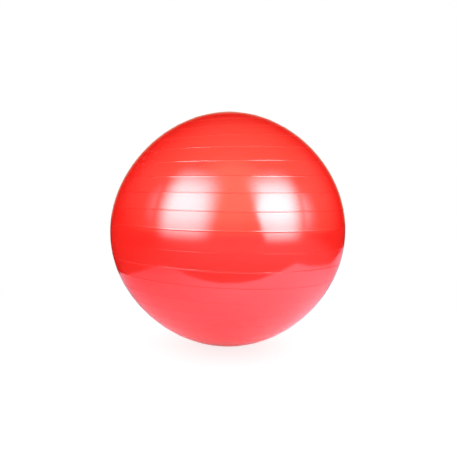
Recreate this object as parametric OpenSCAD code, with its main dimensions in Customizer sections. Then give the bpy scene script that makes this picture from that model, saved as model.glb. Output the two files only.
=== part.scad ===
// Ribbed exercise ball with an air port at its top pole and a push-in stopper.
// Millimetres. +Z runs up through the port, and z = 0 is the floor that the ball stands on.
// Every piece is a body of revolution, so each one is a half-section turned about +Z.
// The half-sections are drawn about the middle of the ball: x is the radius, y is the height.

/* [Ball] */
// Diameter of the inflated skin between its ribs
ball_d = 550; // [450:10:850]
// Thickness of the skin once it is stretched by the air
skin_t = 0.9; // [0.7:0.1:1.5]
// Radius of the flat patch that the ball's own weight presses on the floor
patch_r = 30; // [28:1:38]

/* [Ribs] */
// Number of ribs between the equator and each smooth cap
ribs_per_half = 10; // [6:1:10]
// Angle from one rib to the next, seen from the middle of the ball
rib_pitch = 7.7; // [5.5:0.1:7.7]
// Width of a rib at its foot. A rib is a low flat-topped band with sloping flanks
rib_w = 2; // [1.6:0.1:4]
// Height of a rib over the skin
rib_h = 0.3; // [0.2:0.05:0.6]

/* [Air port] */
// Radius of the raised land around the port, on the outside
land_r = 20; // [16:1:24]
// Height of the land over the skin
land_h = 0.5; // [0.3:0.1:0.8]
// Radius of the flat face of the pad inside the skin, where the valve seat is bonded
pad_r = 23; // [19:1:28]
// Depth of that flat face below the top of the ball
pad_depth = 5; // [4:0.5:7]
// Radius of the hole in the skin that the valve seat's collar fills
port_r = 10; // [9.5:0.5:12]

/* [Valve seat] */
// Radius of the flange bonded under the pad
flange_r = 18; // [15:1:19]
// Thickness of the flange
flange_t = 2; // [1.5:0.5:3]
// Length of the sleeve below the flange
sleeve_len = 12; // [10:1:14]
// Wall of the sleeve around the bore
sleeve_wall = 2.2; // [1.8:0.2:3]
// Radius of the bore that the stopper pushes into
bore_r = 4.5; // [4:0.1:5]
// Depth of the recess that the stopper's head sinks into
recess_depth = 1.8; // [1.6:0.1:2.2]

/* [Stopper] */
// Radius of the stopper's head
head_r = 8; // [7.4:0.1:8.4]
// Thickness of the head at its edge
head_t = 1.5; // [1.2:0.1:1.6]
// Length of the stem below the head
stem_len = 22; // [20:1:25]
// Number of sealing rings on the stem
ring_count = 3; // [2:1:4]

/* [Hidden] */

ball_r = ball_d / 2;
// Height of the middle of the ball over the floor
centre_z = sqrt(pow(ball_r, 2) - pow(patch_r, 2));

// Width that each flank of a rib slopes over
rib_edge = 0.35;

// Slope that the land and the pad run out with, as width and height
land_edge = 2;
pad_edge = [6, 5];
pad_y = ball_r - pad_depth;

// The collar's flat top meets the land at the edge of the port
collar_y = sqrt(pow(ball_r + land_h, 2) - pow(port_r, 2));
recess_gap = 0.3;
recess_y = collar_y - recess_depth;
flange_bevel = 0.8;
sleeve_y = pad_y - flange_t - sleeve_len;
// The sleeve is thicker where it leaves the flange, and has a rounded bead at its end
sleeve_flare = 2;
sleeve_bead = 1;
// Cone at the mouth of the bore, as width and depth
mouth = [0.8, 0.9];

// The rings are an easy running fit in the bore
ring_gap = 0.05;
ring_r = 1.2;
ring_pitch = 3.6;
stem_r = bore_r - 0.6;
nose_r = 2.9;
nose_len = 6;
nose_edge = 0.7;
head_rise = 0.5;
head_bevel = 0.5;
// Cone under the head that closes on the mouth of the bore
collet = [0.6, 0.8];
core_r = 2;
core_roof = 3;

ball_fn = 240;
small_fn = 64;

// Turns a half-section, drawn about the middle of the ball, into a solid at its height over the floor
module turned() {
    translate([0, 0, centre_z]) rotate_extrude($fn = ball_fn) children();
}

// Box in the half-section, from the axis out to r and from y0 up to y1
module band(r, y0, y1) {
    translate([0, y0]) square([r, y1 - y0]);
}

// One rib at an angle above or below the equator, with its flanks carried on into the skin
module rib_section(angle) {
    crown = rib_w / 2 - rib_edge;
    root = rib_w / 2 + rib_edge;
    rotate(angle) polygon([
        [ball_r - rib_h, -root], [ball_r + rib_h, -crown], [ball_r + rib_h, crown], [ball_r - rib_h, root]
    ]);
}

// Raised round land that thickens the skin outside, with a sloping edge
module land_section() {
    intersection() {
        circle(r = ball_r + land_h, $fn = ball_fn);
        polygon([
            [0, pad_y], [land_r + 2 * land_edge, pad_y],
            [land_r, ball_r + land_edge], [0, ball_r + land_edge]
        ]);
    }
}

// Outer form of the skin: sphere, ribs and land, cut flat where it meets the floor
module skin_section() {
    intersection() {
        union() {
            circle(r = ball_r, $fn = ball_fn);
            for (side = [-1, 1], n = [1 : ribs_per_half])
                rib_section(side * (n - 0.5) * rib_pitch);
            land_section();
        }
        band(2 * ball_r, -centre_z, 2 * ball_r);
    }
}

// Thickened pad inside the top of the skin, with a flat face for the valve seat
module pad_section() {
    polygon([
        [-pad_r, pad_y], [pad_r, pad_y],
        [pad_r + pad_edge[0], pad_y + pad_edge[1]], [-pad_r - pad_edge[0], pad_y + pad_edge[1]]
    ]);
}

// Air inside the skin: one skin thickness in from the sphere and from the flat patch
module air_section() {
    difference() {
        intersection() {
            circle(r = ball_r - skin_t, $fn = ball_fn);
            translate([-ball_r, skin_t - centre_z]) square(2 * ball_r);
        }
        pad_section();
    }
}

module ball_shell() {
    color("red") turned() difference() {
        skin_section();
        air_section();
        band(port_r, pad_y - 1, 2 * ball_r);
    }
}

// Sleeve with its flare under the flange and the bead round its inner end
module sleeve_section() {
    outer = bore_r + sleeve_wall;
    polygon([
        [0, sleeve_y], [outer, sleeve_y], [outer, pad_y - flange_t - sleeve_flare],
        [outer + sleeve_flare, pad_y - flange_t], [0, pad_y - flange_t]
    ]);
    translate([outer, sleeve_y + sleeve_bead]) circle(r = sleeve_bead, $fn = small_fn);
}

module valve_seat() {
    color("firebrick") turned() difference() {
        union() {
            band(port_r, pad_y, collar_y);
            band(flange_r, pad_y - flange_t + flange_bevel, pad_y);
            polygon([
                [0, pad_y - flange_t], [flange_r - flange_bevel, pad_y - flange_t],
                [flange_r, pad_y - flange_t + flange_bevel], [0, pad_y - flange_t + flange_bevel]
            ]);
            sleeve_section();
        }
        band(bore_r, sleeve_y - 1, collar_y);
        band(head_r + recess_gap, recess_y, collar_y + 1);
        polygon([[0, recess_y - mouth[1]], [bore_r, recess_y - mouth[1]],
            [bore_r + mouth[0], recess_y], [0, recess_y]]);
    }
}

// Round head: bevelled below so that a fingernail lifts it, and slightly domed above
module head_section() {
    top = recess_y + head_t + head_rise;
    dome_r = (pow(head_r, 2) + pow(head_rise, 2)) / (2 * head_rise);
    intersection() {
        polygon([
            [0, recess_y], [head_r - head_bevel, recess_y],
            [head_r, recess_y + head_bevel], [head_r, top + 1], [0, top + 1]
        ]);
        translate([0, top - dome_r]) circle(r = dome_r, $fn = ball_fn);
    }
}

// Stem with its collet cone, tapered nose and sealing rings
module stem_section() {
    tip = recess_y - stem_len;
    polygon([
        [0, tip], [nose_r - nose_edge, tip], [nose_r, tip + nose_edge], [stem_r, tip + nose_len],
        [stem_r, recess_y - collet[1]], [stem_r + collet[0], recess_y], [0, recess_y]
    ]);
    for (n = [1 : ring_count])
        translate([bore_r - ring_gap - ring_r, recess_y - n * ring_pitch - collet[1]])
            circle(r = ring_r, $fn = small_fn);
}

module valve_plug() {
    color("whitesmoke") turned() difference() {
        union() {
            head_section();
            stem_section();
        }
        band(core_r, recess_y - stem_len - 1, recess_y - core_roof);
    }
}

ball_shell();
valve_seat();
valve_plug();
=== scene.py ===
import math

import bpy
import numpy as np
from mathutils import Matrix, Vector


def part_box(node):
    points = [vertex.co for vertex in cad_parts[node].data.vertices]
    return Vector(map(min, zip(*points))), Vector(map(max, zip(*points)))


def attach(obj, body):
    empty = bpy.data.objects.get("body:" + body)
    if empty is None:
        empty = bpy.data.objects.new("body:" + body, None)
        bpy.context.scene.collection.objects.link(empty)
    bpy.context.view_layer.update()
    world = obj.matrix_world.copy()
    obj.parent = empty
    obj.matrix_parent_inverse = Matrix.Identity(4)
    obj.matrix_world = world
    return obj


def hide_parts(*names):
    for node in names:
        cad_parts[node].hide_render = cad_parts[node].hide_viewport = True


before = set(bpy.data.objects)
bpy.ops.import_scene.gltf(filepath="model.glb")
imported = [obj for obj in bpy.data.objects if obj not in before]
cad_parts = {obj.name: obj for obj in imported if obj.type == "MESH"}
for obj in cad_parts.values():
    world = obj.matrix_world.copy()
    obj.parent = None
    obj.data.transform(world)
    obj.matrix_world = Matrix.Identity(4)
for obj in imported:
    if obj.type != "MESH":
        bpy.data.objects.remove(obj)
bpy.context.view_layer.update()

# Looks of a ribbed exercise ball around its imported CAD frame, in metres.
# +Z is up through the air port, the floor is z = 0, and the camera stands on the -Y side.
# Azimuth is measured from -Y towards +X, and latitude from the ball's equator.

# ---------------------------------------------------------------- sizes

MM = 0.001
RIB_W = 2 * MM
RIB_H = 0.3 * MM
# Width over which each flank of a rib runs out into the skin
RIB_FLANK = 1.1 * MM
RIB_PITCH = math.radians(7.7)
RIBS_PER_HALF = 10
# The first rib below the equator is fainter than the others.
# Its place is in pitches from the equator, and its height is this share of theirs.
FAINT_RIB = -0.5
FAINT_SHARE = 0.4
PATCH_R = 30 * MM
SKIN_T = 0.9 * MM

# The ball is widest at the equator, where its skin is smooth. Rounding takes out the frame's facets.
BALL_R = round(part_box("ball_shell")[1].x / MM) * MM
CENTRE_Z = math.sqrt(BALL_R**2 - PATCH_R**2)
# Height over which the skin rounds from the floor into the sphere
PATCH_BLEND = 1 * MM

# Raised land round the port, its sloping edge, and the port's rounded edge
LAND_R = 20 * MM
LAND_MID_R = 15 * MM
LAND_H = 0.5 * MM
LAND_EDGE = 1.6 * MM
PORT_R = 10 * MM
PORT_EDGE = 0.3 * MM

# Pad inside the skin that the valve seat's flange is bonded under
PAD_R = 23 * MM
PAD_RIM_R = 26.4 * MM
PAD_DEPTH = 5 * MM
PAD_Z = CENTRE_Z + BALL_R - PAD_DEPTH

# The skin's mesh: points round a ring, rings between two ribs, and rings inside below the pad
COLUMNS = 256
ROWS_BETWEEN_RIBS = 2
INNER_ROWS = 24
# Rows this far beside an edge keep its rounding narrow
GUARD = 0.25 * MM
# Steps up a rounded flank, as shares of its width
FLANK_STEPS = (0, 0.25, 0.5, 0.75, 1)
# Rows of the smooth caps, in degrees from the pole, closer together over the flat patch
SOUTH_CAP = (0.7, 1.6, 2.4, 3.1, 3.7, 4.3, 5, 6, 7.5, 9.5, 12, 14.5)
NORTH_CAP = (14.5, 12, 9.5, 7.5, 6)
# Edges turned by more than this stay sharp
SHARP_ANGLE = math.radians(65)

# Slow lumps of a PVC skin under air: order, height and the direction of the peak,
# which is an angle from +X towards +Z. The lumps fade out at the poles.
LUMP_LEVEL = -1.49 * MM
LUMPS = [
    (1, 1.17 * MM, math.radians(-73)),
    (2, 1.03 * MM, math.radians(40)),
    (3, 1.12 * MM, math.radians(80)),
    (4, 1.73 * MM, math.radians(3)),
]
LUMP_FADE = (math.radians(4.5), math.radians(12))

# The ribs fan out towards +X, those south of the equator sag a little, and all waver
RIB_FAN = 0.062
FAN_FADE = (math.radians(66), math.radians(84))
SAG = math.radians(-1.85)
SAG_FOOT = (math.radians(-50), math.radians(-30))
SAG_HEAD = (math.radians(-5), math.radians(8))
WAVE = 0.0012

# ---------------------------------------------------------------- the skin's mesh


def smoothstep(low, high, x):
    """Runs from 0 to 1 as x goes from low to high, level at both ends."""
    t = np.clip((x - low) / (high - low), 0, 1)
    return t * t * (3 - 2 * t)


def rib_rows(latitude, height):
    """Rows (latitude, rise) over one low flat-topped rib, from its south foot to its north foot."""
    crown = (RIB_W - RIB_FLANK) / 2
    north = [(crown - GUARD, height)]
    for share in FLANK_STEPS:
        north.append((crown + share * RIB_FLANK, height * float(smoothstep(0, 1, 1 - share))))
    north.append((crown + RIB_FLANK + GUARD, 0))
    rows = [(-across, rise) for across, rise in north[::-1]] + north
    return [(latitude + across / BALL_R, rise) for across, rise in rows]


def ribbed_rows():
    """Rows over all ribs and the gaps between them, from south to north."""
    steps = np.arange(RIBS_PER_HALF) + 0.5
    ribs = []
    for n in [*-steps[::-1], *steps]:
        height = RIB_H * (FAINT_SHARE if n == FAINT_RIB else 1)
        ribs.append(rib_rows(n * RIB_PITCH, height))
    rows = list(ribs[0])
    for rib, following in zip(ribs, ribs[1:]):
        gap = np.linspace(rib[-1][0], following[0][0], ROWS_BETWEEN_RIBS + 2)[1:-1]
        rows += [(latitude, 0) for latitude in gap]
        rows += following
    return rows


def land_rows():
    """Rows up the sloping edge of the land, over it and round the port's edge, from south to north."""
    from_pole = [(LAND_R + LAND_EDGE + GUARD, 0)]
    for share in FLANK_STEPS:
        reach = LAND_R + LAND_EDGE - share * LAND_EDGE
        from_pole.append((reach, LAND_H * float(smoothstep(0, 1, share))))
    from_pole += [(LAND_R - GUARD, LAND_H), (LAND_MID_R, LAND_H)]
    for turn in (90, 60, 30, 0):
        reach = PORT_R + PORT_EDGE * (1 - math.cos(math.radians(turn)))
        drop = PORT_EDGE * (1 - math.sin(math.radians(turn)))
        from_pole.append((reach, LAND_H - drop))
    return [(math.pi / 2 - reach / BALL_R, rise) for reach, rise in from_pole]


def outer_rows():
    """Rows (latitude, rise) up the outside of the skin, from the flat patch to the port."""
    south = [(math.radians(turn) - math.pi / 2, 0) for turn in SOUTH_CAP]
    north = [(math.pi / 2 - math.radians(turn), 0) for turn in NORTH_CAP]
    return south + ribbed_rows() + north + land_rows()


def lumps(direction):
    """Height of the skin's lumps along unit vectors."""
    x, z = direction[..., 0], direction[..., 2]
    reach, turn = np.hypot(x, z), np.arctan2(z, x)
    height = LUMP_LEVEL + sum(a * reach**m * np.cos(m * (turn - peak)) for m, a, peak in LUMPS)
    from_pole = np.arccos(np.clip(np.abs(z), 0, 1))
    return height * smoothstep(*LUMP_FADE, from_pole)


def settled(latitude, azimuth):
    """Latitude that a point of the moulded skin takes once the skin is stretched by the air."""
    fan = RIB_FAN * latitude * (1 - smoothstep(*FAN_FADE, abs(latitude)))
    sag = SAG * smoothstep(*SAG_FOOT, latitude) * (1 - smoothstep(*SAG_HEAD, latitude))
    wave = np.sin(2 * azimuth + 9 * latitude) + 0.7 * np.sin(5 * azimuth - 14 * latitude + 1)
    return latitude + fan * np.sin(azimuth) + sag + WAVE * wave * math.cos(latitude)


def unit(latitude, azimuth):
    """Unit vectors from the middle of the ball."""
    level = np.cos(latitude)
    return np.stack([level * np.sin(azimuth), -level * np.cos(azimuth), np.sin(latitude)], -1)


def on_floor(height, floor):
    """Smooth maximum of the skin's height and the floor under it."""
    near = np.clip(PATCH_BLEND - np.abs(height - floor), 0, None) / PATCH_BLEND
    return np.maximum(height, floor) + near**2 * PATCH_BLEND / 4


def skin_ring(latitude, rise, azimuth, floor):
    """Ring of the lumpy skin at a moulded latitude, a rise over the sphere and no lower than floor."""
    towards = unit(settled(latitude, azimuth), azimuth)
    points = towards * (BALL_R + lumps(towards) + rise)[:, None]
    points[:, 2] = on_floor(points[:, 2] + CENTRE_Z, floor)
    return points


def level_ring(radius, z, azimuth):
    """True circle round the ball's axis."""
    points = radius * unit(np.zeros_like(azimuth), azimuth)
    points[:, 2] = z
    return points


def skin_rings():
    """Rings of points up the outside, down the port's wall and back inside to the bottom."""
    azimuth = np.linspace(0, 2 * math.pi, COLUMNS, endpoint=False)
    rings = [skin_ring(latitude, rise, azimuth, 0) for latitude, rise in outer_rows()]
    rings += [level_ring(radius, PAD_Z, azimuth) for radius in (PORT_R, PAD_R)]
    inside = math.sqrt((BALL_R - SKIN_T) ** 2 - PAD_RIM_R**2)
    rings.append(level_ring(PAD_RIM_R, CENTRE_Z + inside, azimuth))
    top = math.atan2(inside, PAD_RIM_R)
    for latitude in np.linspace(top, -math.pi / 2, INNER_ROWS + 2)[1:-1]:
        rings.append(skin_ring(latitude, -SKIN_T, azimuth, SKIN_T))
    return rings


def lathe(name, rings, ends):
    """Closed mesh through rings of equal length, with a point at each end."""
    count = len(rings[0])
    verts = [ends[0], *np.concatenate(rings).tolist(), ends[1]]
    around = [(i, (i + 1) % count) for i in range(count)]
    faces = [(0, 1 + j, 1 + i) for i, j in around]
    for ring in range(len(rings) - 1):
        low = 1 + ring * count
        high = low + count
        faces += [(low + i, low + j, high + j, high + i) for i, j in around]
    last = len(verts) - 1
    start = last - count
    faces += [(start + i, start + j, last) for i, j in around]
    mesh = bpy.data.meshes.new(name)
    mesh.from_pydata(verts, [], faces)
    mesh.validate()
    mesh.shade_smooth()
    mesh.set_sharp_from_angle(angle=SHARP_ANGLE)
    piece = bpy.data.objects.new(name, mesh)
    bpy.context.scene.collection.objects.link(piece)
    return piece


# ---------------------------------------------------------------- materials


class Nodes:
    """A node tree under construction."""

    def __init__(self, tree):
        self.tree = tree
        tree.nodes.clear()

    def add(self, kind, settings=None, **inputs):
        """Adds a node. An input is a number, a colour or another node's output.
        It is called by its name, or by i and its place where inputs share a name."""
        made = self.tree.nodes.new("ShaderNode" + kind)
        for name, value in (settings or {}).items():
            setattr(made, name, value)
        for name, value in inputs.items():
            key = int(name[1:]) if name[1:].isdigit() else name.replace("_", " ")
            if isinstance(value, bpy.types.NodeSocket):
                self.tree.links.new(value, made.inputs[key])
            else:
                made.inputs[key].default_value = value
        return made

    def math(self, operation, *values):
        inputs = {f"i{n}": value for n, value in enumerate(values)}
        return self.add("Math", {"operation": operation}, **inputs).outputs[0]

    def product(self, first, *others):
        for other in others:
            first = self.math("MULTIPLY", first, other)
        return first

    def measure(self, operation, *vectors):
        """Number that a vector operation gives, such as LENGTH."""
        inputs = {f"i{n}": vector for n, vector in enumerate(vectors)}
        return self.add("VectorMath", {"operation": operation}, **inputs).outputs["Value"]

    def ramp(self, value, low, high, start=0.0, end=1.0):
        """Runs smoothly from start to end as value goes from low to high."""
        made = self.add(
            "MapRange",
            {"interpolation_type": "SMOOTHSTEP"},
            Value=value, From_Min=low, From_Max=high, To_Min=start, To_Max=end,
        )
        return made.outputs["Result"]

    def mix(self, factor, first, second):
        made = self.add("Mix", {"data_type": "RGBA"}, i0=factor, i6=first, i7=second)
        return made.outputs[2]

    def noise(self, where, scale, detail, roughness=0.5):
        made = self.add("TexNoise", Vector=where, Scale=scale, Detail=detail, Roughness=roughness)
        return made.outputs["Fac"]

    def bump(self, height, depth, **more):
        return self.add("Bump", Height=height, Strength=1.0, Distance=depth, **more).outputs[0]

    def glow(self, tint, strength=1.0):
        return self.add("Emission", Color=tint, Strength=strength).outputs[0]

    def cover(self, share, shader):
        """Shader over a clear surface, by the share of the surface that it takes."""
        clear = self.add("BsdfTransparent").outputs[0]
        return self.add("MixShader", i0=share, i1=clear, i2=shader).outputs[0]


def new_material(name):
    material = bpy.data.materials.new(name)
    material.use_nodes = True
    return material, Nodes(material.node_tree)


def colour(red, green, blue):
    return (red, green, blue, 1.0)


def grey(level):
    return colour(level, level, level)


BLACK = grey(0)
WHITE = grey(1)


def skin_material():
    """Glossy red PVC: a sharp gloss under a thin haze, faint flow marks and a fine grain."""
    material, n = new_material("red_pvc_gloss")
    where = n.add("TexCoord").outputs["Object"]
    # The flow marks lie along the ribs
    stretched = n.add("Mapping", Vector=where, Scale=(5.0, 5.0, 60.0)).outputs[0]
    cloud = n.noise(where, scale=7.0, detail=3.0)
    flow = n.noise(stretched, scale=1.0, detail=3.0)
    grain = n.noise(where, scale=900.0, detail=1.0)
    tone = n.mix(cloud, colour(0.92, 0.0085, 0.0042), colour(0.95, 0.0110, 0.0055))
    tone = n.mix(n.ramp(flow, 0.35, 0.75, 0.0, 0.35), tone, colour(0.89, 0.0110, 0.0060))
    rough = n.math("ADD", n.ramp(flow, 0.3, 0.7, 0.09, 0.13), n.product(grain, 0.02))
    swell = n.bump(n.noise(where, scale=26.0, detail=1.0), 0.04 * MM)
    fine = n.bump(grain, 0.004 * MM, Normal=swell)
    shader = n.add(
        "BsdfPrincipled",
        Base_Color=tone, Roughness=rough, IOR=1.68, Normal=fine,
        Coat_Weight=0.15, Coat_Roughness=0.27, Coat_IOR=2.0, Coat_Normal=swell,
    )
    n.add("OutputMaterial", Surface=shader.outputs[0])
    return material


def seat_material():
    """Softer, deeper red PVC of the moulded valve seat, satin from its tool."""
    material, n = new_material("red_pvc_satin")
    where = n.add("TexCoord").outputs["Object"]
    cloud = n.noise(where, scale=90.0, detail=3.0)
    grain = n.noise(where, scale=2500.0, detail=2.0)
    tone = n.mix(cloud, colour(0.58, 0.010, 0.006), colour(0.70, 0.016, 0.010))
    rough = n.ramp(grain, 0.3, 0.7, 0.34, 0.46)
    bump = n.bump(grain, 0.02 * MM)
    shader = n.add("BsdfPrincipled", Base_Color=tone, Roughness=rough, IOR=1.5, Normal=bump)
    n.add("OutputMaterial", Surface=shader.outputs[0])
    return material


def stopper_material():
    """Off-white moulded polyethylene with a waxy sheen and a trace of handling."""
    material, n = new_material("off_white_polyethylene")
    where = n.add("TexCoord").outputs["Object"]
    cloud = n.noise(where, scale=160.0, detail=4.0, roughness=0.6)
    grain = n.noise(where, scale=3000.0, detail=2.0)
    tone = n.mix(cloud, colour(0.74, 0.73, 0.69), colour(0.84, 0.84, 0.81))
    rough = n.ramp(grain, 0.3, 0.7, 0.38, 0.5)
    bump = n.bump(grain, 0.02 * MM)
    shader = n.add(
        "BsdfPrincipled",
        Base_Color=tone, Roughness=rough, IOR=1.52, Normal=bump,
        Subsurface_Weight=0.15, Subsurface_Scale=2 * MM,
    )
    n.add("OutputMaterial", Surface=shader.outputs[0])
    return material


# ---------------------------------------------------------------- studio

# Angles of the studio are in degrees: azimuth and elevation from the middle of the ball
AIM = Vector((0, 0, CENTRE_Z))
# The camera is set so that the ball has its size and place in the photo
CAMERA_DISTANCE = 1.418
CAMERA_ELEVATION = 4.5
CAMERA_ROLL = 1.6
# The camera looks this far to the right of the ball's axis
CAMERA_ASIDE = 2.6 * MM
LENS = 46.7

# Two softboxes with a faint card beside each, a little farther off
LEFT_AZIMUTH = -38
RIGHT_AZIMUTH = 43
BOX_ELEVATION = 23
BOX_DISTANCE = 1.3
BOUNCE_DISTANCE = 1.35

# Lamps that light the diffuse part of the surfaces
LAMP_DISTANCE = 1.6
LAMP_SIZE = 1.0
LAMPS = [
    # name, azimuth, elevation, power
    ("lamp_left", LEFT_AZIMUTH, 30, 1.8),
    ("lamp_right", RIGHT_AZIMUTH, 30, 1.8),
    ("side_left", -110, 25, 9),
    ("side_right", 110, 25, 11),
]

# The platform lies just under the ball, and the floor just under the platform. The platform's
# outline starts at its front left corner, and follows its edge as the ball reflects it in the photo.
PLATFORM_Z = -0.2 * MM
FLOOR_Z = 2 * PLATFORM_Z
FLOOR_HALF = 8
PLATFORM = [
    (-0.5, -0.44), (0.45, -0.44), (0.66, -0.40), (0.69, -0.19), (0.75, 0), (0.82, 0.3),
    (1.0, 0.7), (1.2, 1.9), (-0.4, 1.9), (-0.46, 0.9), (-0.53, 0.4), (-0.54, -0.27),
]
BACKDROP_Y = 1.9
BACKDROP_HALF = 0.45
BACKDROP_H = 1.0

# Distances from the foot of the ball. The shadow that the camera sees fades into white over
# SHADOW_REACH, and the faint painted glow that other rays find on the floor runs out over GLOW_REACH.
SHADOW_REACH = (0.35, 0.9)
GLOW_REACH = (0.1, 0.45)

# Directions that the world's levels are measured along
LIT_SIDE = (0.12, -0.95, 0.3)
OVER_CAMERA = (0.04, -0.78, 0.62)
OVER_BACK = (0, 0.5, 0.87)
# Tint of the dim room, and the even levels that diffuse surfaces get from the front and the back
ROOM_TINT = (1.0, 0.95, 0.62)
FRONT_LEVEL = 0.55
BACK_LEVEL = 1.4


def polar(azimuth, elevation, distance):
    """Point seen from the middle of the ball at an azimuth and elevation in degrees."""
    a, e = math.radians(azimuth), math.radians(elevation)
    towards = Vector((math.sin(a) * math.cos(e), -math.cos(a) * math.cos(e), math.sin(e)))
    return AIM + distance * towards


def facing(place, target):
    """Matrix of something at place whose -Z looks at target and whose Y is up."""
    turn = (target - place).to_track_quat("-Z", "Y")
    return Matrix.Translation(place) @ turn.to_matrix().to_4x4()


def make_camera():
    camera = bpy.data.objects.new("camera", bpy.data.cameras.new("camera"))
    bpy.context.scene.collection.objects.link(camera)
    place = polar(0, CAMERA_ELEVATION, CAMERA_DISTANCE)
    roll = Matrix.Rotation(math.radians(CAMERA_ROLL), 4, "Z")
    camera.matrix_world = facing(place, AIM + Vector((CAMERA_ASIDE, 0, 0))) @ roll
    camera.data.lens = LENS
    bpy.context.scene.camera = camera


def flat(name, corners, material):
    """Stage face through corner points."""
    mesh = bpy.data.meshes.new(name)
    mesh.from_pydata([tuple(c) for c in corners], [], [tuple(range(len(corners)))])
    mesh.materials.append(material)
    made = bpy.data.objects.new(name, mesh)
    bpy.context.scene.collection.objects.link(made)
    return made


def show_in_reflections_only(made):
    made.visible_camera = False
    made.visible_diffuse = False
    made.visible_shadow = False


def ray_kinds(n):
    """Outputs that are 1 on camera rays, and on rays that a reflection or a clear piece sends on."""
    path = n.add("LightPath")
    mirrored = n.math("MAXIMUM", path.outputs["Is Glossy Ray"], path.outputs["Is Transmission Ray"])
    return path.outputs["Is Camera Ray"], mirrored


def ground_material(name, near, away, hub, reach):
    """Pale floor: white to the camera with a faint shadow near the ball. In reflections it is a cloth
    with painted light and shade, whose colour goes from near to away over reach, a range of distances
    from hub, and with a painted glow under the ball.
    It is clear to a camera below it, so that the underside of the object can be looked at."""
    material, n = new_material(name)
    seen, mirrored = ray_kinds(n)
    geometry = n.add("NewGeometry")
    place = geometry.outputs["Position"]
    from_ball = n.measure("LENGTH", place)
    far = n.ramp(from_ball, *SHADOW_REACH)
    # Painted light and shade for reflected rays: brighter near hub, darker farther from it
    cloth = n.mix(n.ramp(n.measure("DISTANCE", place, (*hub, 0)), *reach), near, away)
    under_camera = n.mix(far, grey(0.24), BLACK)
    kept = n.mix(mirrored, n.mix(seen, grey(0.9), under_camera), cloth)
    # Painted glow under the ball for all but camera rays, in place of light bounced there
    painted_glow_under_ball = n.mix(n.ramp(from_ball, *GLOW_REACH), grey(0.22), BLACK)
    added = n.mix(seen, painted_glow_under_ball, n.mix(far, grey(0.82), WHITE))
    lit = n.add("AddShader", i0=n.add("BsdfDiffuse", Color=kept).outputs[0], i1=n.glow(added))
    from_below = n.product(geometry.outputs["Backfacing"], seen)
    surface = n.cover(n.math("SUBTRACT", 1.0, from_below), lit.outputs[0])
    n.add("OutputMaterial", Surface=surface)
    return material


def make_floor():
    """Floor and white platform, which look alike to the camera. Reflections show the floor dark, with
    painted light that fades towards the back.
    """
    dark = ground_material(
        "floor_round_platform", near=grey(0.40), away=grey(0.01), hub=(2.0, -5.7), reach=(4.5, 6.6)
    )
    # Painted light and shade of the platform in reflections: lit in front of the ball, shaded behind it
    # where the ball's shadow falls
    lit, shaded = colour(1.12, 1.12, 1.39), colour(0.30, 0.30, 0.37)
    white = ground_material("white_platform", near=lit, away=shaded, hub=(0.3, -0.55), reach=(0.15, 1.0))
    corners = [(-1, -1), (1, -1), (1, 1), (-1, 1)]
    flat("floor", [(x * FLOOR_HALF, y * FLOOR_HALF, FLOOR_Z) for x, y in corners], dark)
    flat("platform", [(x, y, PLATFORM_Z) for x, y in PLATFORM], white)


def make_backdrop():
    """White to the camera and in reflections, and pale cloth to the light."""
    material, n = new_material("backdrop")
    shown = n.math("MAXIMUM", *ray_kinds(n))
    body = n.add("BsdfDiffuse", Color=n.mix(shown, grey(0.8), BLACK))
    surface = n.add("AddShader", i0=n.glow(WHITE, shown), i1=body.outputs[0])
    n.add("OutputMaterial", Surface=surface.outputs[0])
    corners = [(-1, 0), (1, 0), (1, BACKDROP_H), (-1, BACKDROP_H)]
    flat("backdrop", [(side * BACKDROP_HALF, BACKDROP_Y, z) for side, z in corners], material)


def softbox(name, azimuth, distance, outline, left_soft, right_soft, hot, strength):
    """Lit cloth that only reflections show, which faces the ball.
    outline is its corners in metres, from the lower left round to the upper left. left_soft and
    right_soft are the shares of its width over which it fades, at its bottom and at its top, and
    hot is the place of its brightest spot as shares of its width and height."""
    material, n = new_material(name)
    at = n.add("SeparateXYZ", Vector=n.add("UVMap").outputs[0])
    across, up = at.outputs["X"], at.outputs["Y"]
    from_left = n.ramp(across, 0.0, n.ramp(up, 0.4, 0.7, *left_soft))
    from_right = n.ramp(n.math("SUBTRACT", 1.0, across), 0.0, n.ramp(up, 0.4, 0.7, *right_soft))
    from_bottom = n.ramp(up, 0.0, 0.17)
    from_top = n.ramp(up, 0.69, 1.0, 1.0, 0.0)
    beside_hot = n.math("ABSOLUTE", n.math("SUBTRACT", across, hot[0]))
    above_hot = n.math("ABSOLUTE", n.math("SUBTRACT", up, hot[1]))
    hot_across = n.ramp(beside_hot, 0.0, 0.6, 1.0, 0.6)
    hot_up = n.ramp(above_hot, 0.0, 0.5, 1.0, 0.3)
    level = n.product(hot_across, hot_up, strength)
    share = n.product(from_left, from_right, from_bottom, from_top)
    n.add("OutputMaterial", Surface=n.cover(share, n.glow(colour(0.98, 1.0, 1.04), level)))
    stand = facing(polar(azimuth, BOX_ELEVATION, distance), AIM)
    panel = flat(name, [stand @ Vector((x, y, 0)) for x, y in outline], material)
    uv = panel.data.uv_layers.new(name="cloth")
    for loop, place in zip(uv.data, [(0, 0), (1, 0), (1, 1), (0, 1)]):
        loop.uv = place
    show_in_reflections_only(panel)


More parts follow.
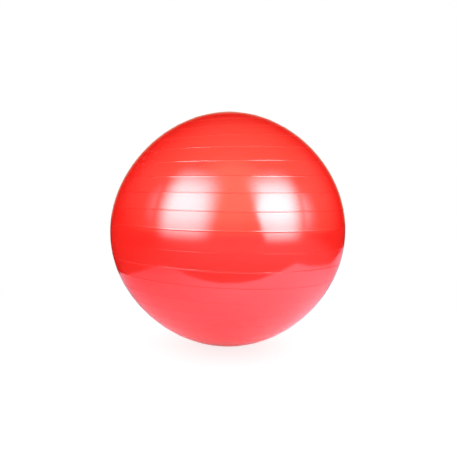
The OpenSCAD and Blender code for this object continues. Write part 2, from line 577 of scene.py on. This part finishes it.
def make_softboxes():
    """Softboxes and the cards beside them. The right box has a sharper inner edge at its foot."""
    left = [(-0.80, -0.76), (0.74, -0.80), (0.78, 0.86), (-0.66, 0.86)]
    right = [(-0.33, -0.80), (0.76, -0.80), (0.74, 0.81), (-0.66, 0.81)]
    beside_left = [(-1.45, -0.55), (-0.78, -0.55), (-0.74, 0.6), (-1.35, 0.6)]
    beside_right = [(0.70, -0.62), (1.45, -0.62), (1.35, 0.42), (0.68, 0.42)]
    softbox(
        "softbox_left", LEFT_AZIMUTH, BOX_DISTANCE, left,
        left_soft=(0.34, 0.36), right_soft=(0.3, 0.38), hot=(0.5, 0.48), strength=12.8,
    )
    softbox(
        "softbox_right", RIGHT_AZIMUTH, BOX_DISTANCE, right,
        left_soft=(0.07, 0.3), right_soft=(0.46, 0.46), hot=(0.32, 0.48), strength=14.6,
    )
    softbox(
        "bounce_right", RIGHT_AZIMUTH, BOUNCE_DISTANCE, beside_right,
        left_soft=(0.03, 0.03), right_soft=(0.97, 0.97), hot=(0.0, 0.5), strength=3.6,
    )
    softbox(
        "bounce_left", LEFT_AZIMUTH, BOUNCE_DISTANCE, beside_left,
        left_soft=(0.95, 0.95), right_soft=(0.05, 0.05), hot=(1.0, 0.5), strength=1.8,
    )


def make_lamps():
    """Soft lamps for the diffuse light. Neither reflections nor the camera show them."""
    for name, azimuth, elevation, power in LAMPS:
        light = bpy.data.lights.new(name, "AREA")
        light.shape = "SQUARE"
        light.size = LAMP_SIZE
        light.energy = power
        made = bpy.data.objects.new(name, light)
        bpy.context.scene.collection.objects.link(made)
        made.matrix_world = facing(polar(azimuth, elevation, LAMP_DISTANCE), AIM)
        made.visible_glossy = False
        made.visible_camera = False


def one_way_card(name, corners):
    """Card about as bright as the dim room, which only reflections show, and which is clear on its front.
    It hides the softboxes from the ball's far side, where they would wash out the rim in views
    from the side and the back."""
    material, n = new_material(name)
    behind = n.add("NewGeometry").outputs["Backfacing"]
    n.add("OutputMaterial", Surface=n.cover(behind, n.glow(colour(0.8, 0.78, 0.62))))
    show_in_reflections_only(flat(name, corners, material))


def make_cards():
    """One card stands across the ball and is clear from the camera's side.
    Two stand before the ball, a little apart, and are clear from between them."""
    half, bottom, top = 2.5, 0.01, 2.6
    across = [(-half, bottom), (half, bottom), (half, top), (-half, top)]
    one_way_card("card_across", [(x, 0, z) for x, z in across])
    apart, length, foot = 0.04, 1.15, 0.25
    for side, name in ((-1, "card_left"), (1, "card_right")):
        ends = (0, -length)[::side]
        low = [(side * apart, y, foot) for y in ends]
        high = [(x, y, top) for x, y, _ in low[::-1]]
        one_way_card(name, low + high)


def make_world():
    """White to the camera, an even level on diffuse surfaces, and in reflections a dim room
    that is brightest over the camera, with a little light behind the ball."""
    world = bpy.data.worlds.new("studio")
    bpy.context.scene.world = world
    world.use_nodes = True
    n = Nodes(world.node_tree)
    seen, mirrored = ray_kinds(n)
    towards = n.add("TexCoord").outputs["Generated"]
    low = n.ramp(n.measure("DOT_PRODUCT", towards, LIT_SIDE), -0.69, 0.85)
    high = n.ramp(n.measure("DOT_PRODUCT", towards, OVER_CAMERA), 0.75, 1.0, 0.0, 1.1)
    behind = n.ramp(n.add("SeparateXYZ", Vector=towards).outputs["Y"], 0.85, 1.0, 0.0, 0.5)
    level = n.math("ADD", n.math("ADD", low, high), behind)
    room = n.add("VectorMath", {"operation": "SCALE"}, i0=ROOM_TINT, Scale=level).outputs[0]
    from_back = n.ramp(n.measure("DOT_PRODUCT", towards, OVER_BACK), -0.5, 1.0)
    even = n.mix(from_back, grey(FRONT_LEVEL), grey(BACK_LEVEL))
    shown = n.mix(seen, n.mix(mirrored, even, room), WHITE)
    n.add("OutputWorld", Surface=n.add("Background", Color=shown, Strength=1.0).outputs[0])


def make_studio():
    make_camera()
    make_world()
    make_floor()
    make_backdrop()
    make_cards()
    make_softboxes()
    make_lamps()
    bpy.context.scene.view_settings.view_transform = "Standard"


# ---------------------------------------------------------------- the object

ball_skin = lathe("ball_skin", skin_rings(), [(0, 0, 0), (0, 0, SKIN_T)])
ball_skin.data.materials.append(skin_material())
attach(ball_skin, "ball")
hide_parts("ball_shell")

for node, make_material in (("valve_seat", seat_material), ("valve_plug", stopper_material)):
    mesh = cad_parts[node].data
    mesh.materials.clear()
    mesh.materials.append(make_material())

make_studio()
